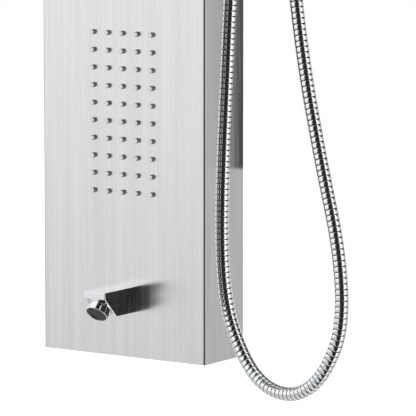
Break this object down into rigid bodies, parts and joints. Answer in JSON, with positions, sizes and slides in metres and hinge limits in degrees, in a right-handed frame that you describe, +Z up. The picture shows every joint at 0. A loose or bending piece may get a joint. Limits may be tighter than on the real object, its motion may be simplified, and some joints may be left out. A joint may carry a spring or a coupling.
{
  "type": "rainfall shower column",
  "caption": "Wall-hung brushed shower panel with an overhead rain head, rows of body jets, a square tub spout, a lever mixer, a diverter and a hand shower on a ringed hose.",
  "frame": {"origin": "centre of the four wall screws, on the wall plane", "axes": "+Z up along the panel, +Y into the wall, +X to the right seen from the room"},
  "size_m": [0.3795, 0.481, 1.4266],
  "materials": {
    "brushed_stainless": "sheet with vertical brushing",
    "plain_stainless": "plain rolled sheet",
    "polished_chrome": "polished chrome plate on brass",
    "chromed_hose": "ringed stainless sleeve over an inner hose",
    "bare_brass": "turned brass",
    "steel_fasteners": "stainless fasteners",
    "silicone": "grey moulded silicone",
    "gasket_rubber": "black rubber",
    "black_abs": "moulded ABS",
    "aerator_plastic": "moulded acetal",
    "white_hose": "extruded polyethylene"
  },
  "bodies": {
    "column": {"body_shell": "brushed_stainless", "head_shell": "brushed_stainless", "head_base_plate": "brushed_stainless", "lower_bracket": "plain_stainless", "upper_bracket": "plain_stainless", "hose_clips": "plain_stainless", "spout_body": "polished_chrome", "aerator_housing": "polished_chrome", "mixer_cover": "polished_chrome", "diverter_cover": "polished_chrome", "outlet_elbow": "polished_chrome", "hose_nut": "polished_chrome", "handset_holder": "polished_chrome", "shower_hose": "chromed_hose", "mixer_body": "bare_brass", "diverter_body": "bare_brass", "mixer_retaining_nut": "bare_brass", "diverter_retaining_nut": "bare_brass", "spout_nut": "bare_brass", "outlet_nut": "bare_brass", "spout_elbow": "bare_brass", "outlet_inner_elbow": "bare_brass", "mixed_water_tube": "bare_brass", "water_tube_nuts": "bare_brass", "rain_pipe": "bare_brass", "base_plate_screws": "steel_fasteners", "head_joint_screws": "steel_fasteners", "head_joint_nuts": "steel_fasteners", "lower_manifold_nuts": "steel_fasteners", "upper_manifold_nuts": "steel_fasteners", "holder_screws": "steel_fasteners", "lower_jet_mat": "silicone", "upper_jet_mat": "silicone", "rain_nozzle_mat": "silicone", "spout_gasket": "gasket_rubber", "outlet_gasket": "gasket_rubber", "lower_jet_manifold": "black_abs", "upper_jet_manifold": "black_abs", "rain_chamber": "black_abs", "mixer_cartridge": "black_abs", "diverter_cartridge": "black_abs", "aerator_insert": "aerator_plastic", "rain_hose": "white_hose", "upper_jet_hose": "white_hose", "lower_jet_hose": "white_hose", "spout_hose": "white_hose", "hand_shower_feed_hose": "white_hose"},
    "mixer_turret": {"mixer_carrier": "black_abs", "mixer_pivot_pin": "steel_fasteners"},
    "mixer_lever": {"mixer_stem": "bare_brass", "mixer_handle": "polished_chrome", "mixer_set_screw": "steel_fasteners"},
    "diverter_control": {"diverter_spindle": "bare_brass", "diverter_knob": "polished_chrome", "diverter_set_screw": "steel_fasteners"},
    "hose_end": {"hose_cone_nut": "polished_chrome"},
    "handset": {"handset_body": "polished_chrome", "handset_face": "polished_chrome", "handset_nozzles": "silicone"}
  },
  "joints": [
    {"name": "mixer_turn", "type": "hinge", "parent": "column", "child": "mixer_turret", "pos_m": [0, -0.074, -0.275], "axis": [0, 1, 0], "range_deg": [-45, 45]},
    {"name": "mixer_lift", "type": "hinge", "parent": "mixer_turret", "child": "mixer_lever", "pos_m": [0, -0.074, -0.275], "axis": [1, 0, 0], "range_deg": [0, 22]},
    {"name": "diverter_turn", "type": "hinge", "parent": "column", "child": "diverter_control", "pos_m": [0, -0.08, -0.16], "axis": [0, 1, 0], "range_deg": [-90, 90]},
    {"name": "handset_lift", "type": "slide", "parent": "column", "child": "hose_end", "axis": [0, 0, 1], "range_m": [0, 0.06]},
    {"name": "handset_swivel", "type": "hinge", "parent": "hose_end", "child": "handset", "pos_m": [0.18, -0.061, 0.03], "axis": [0, 0, 1], "continuous": true}
  ]
}
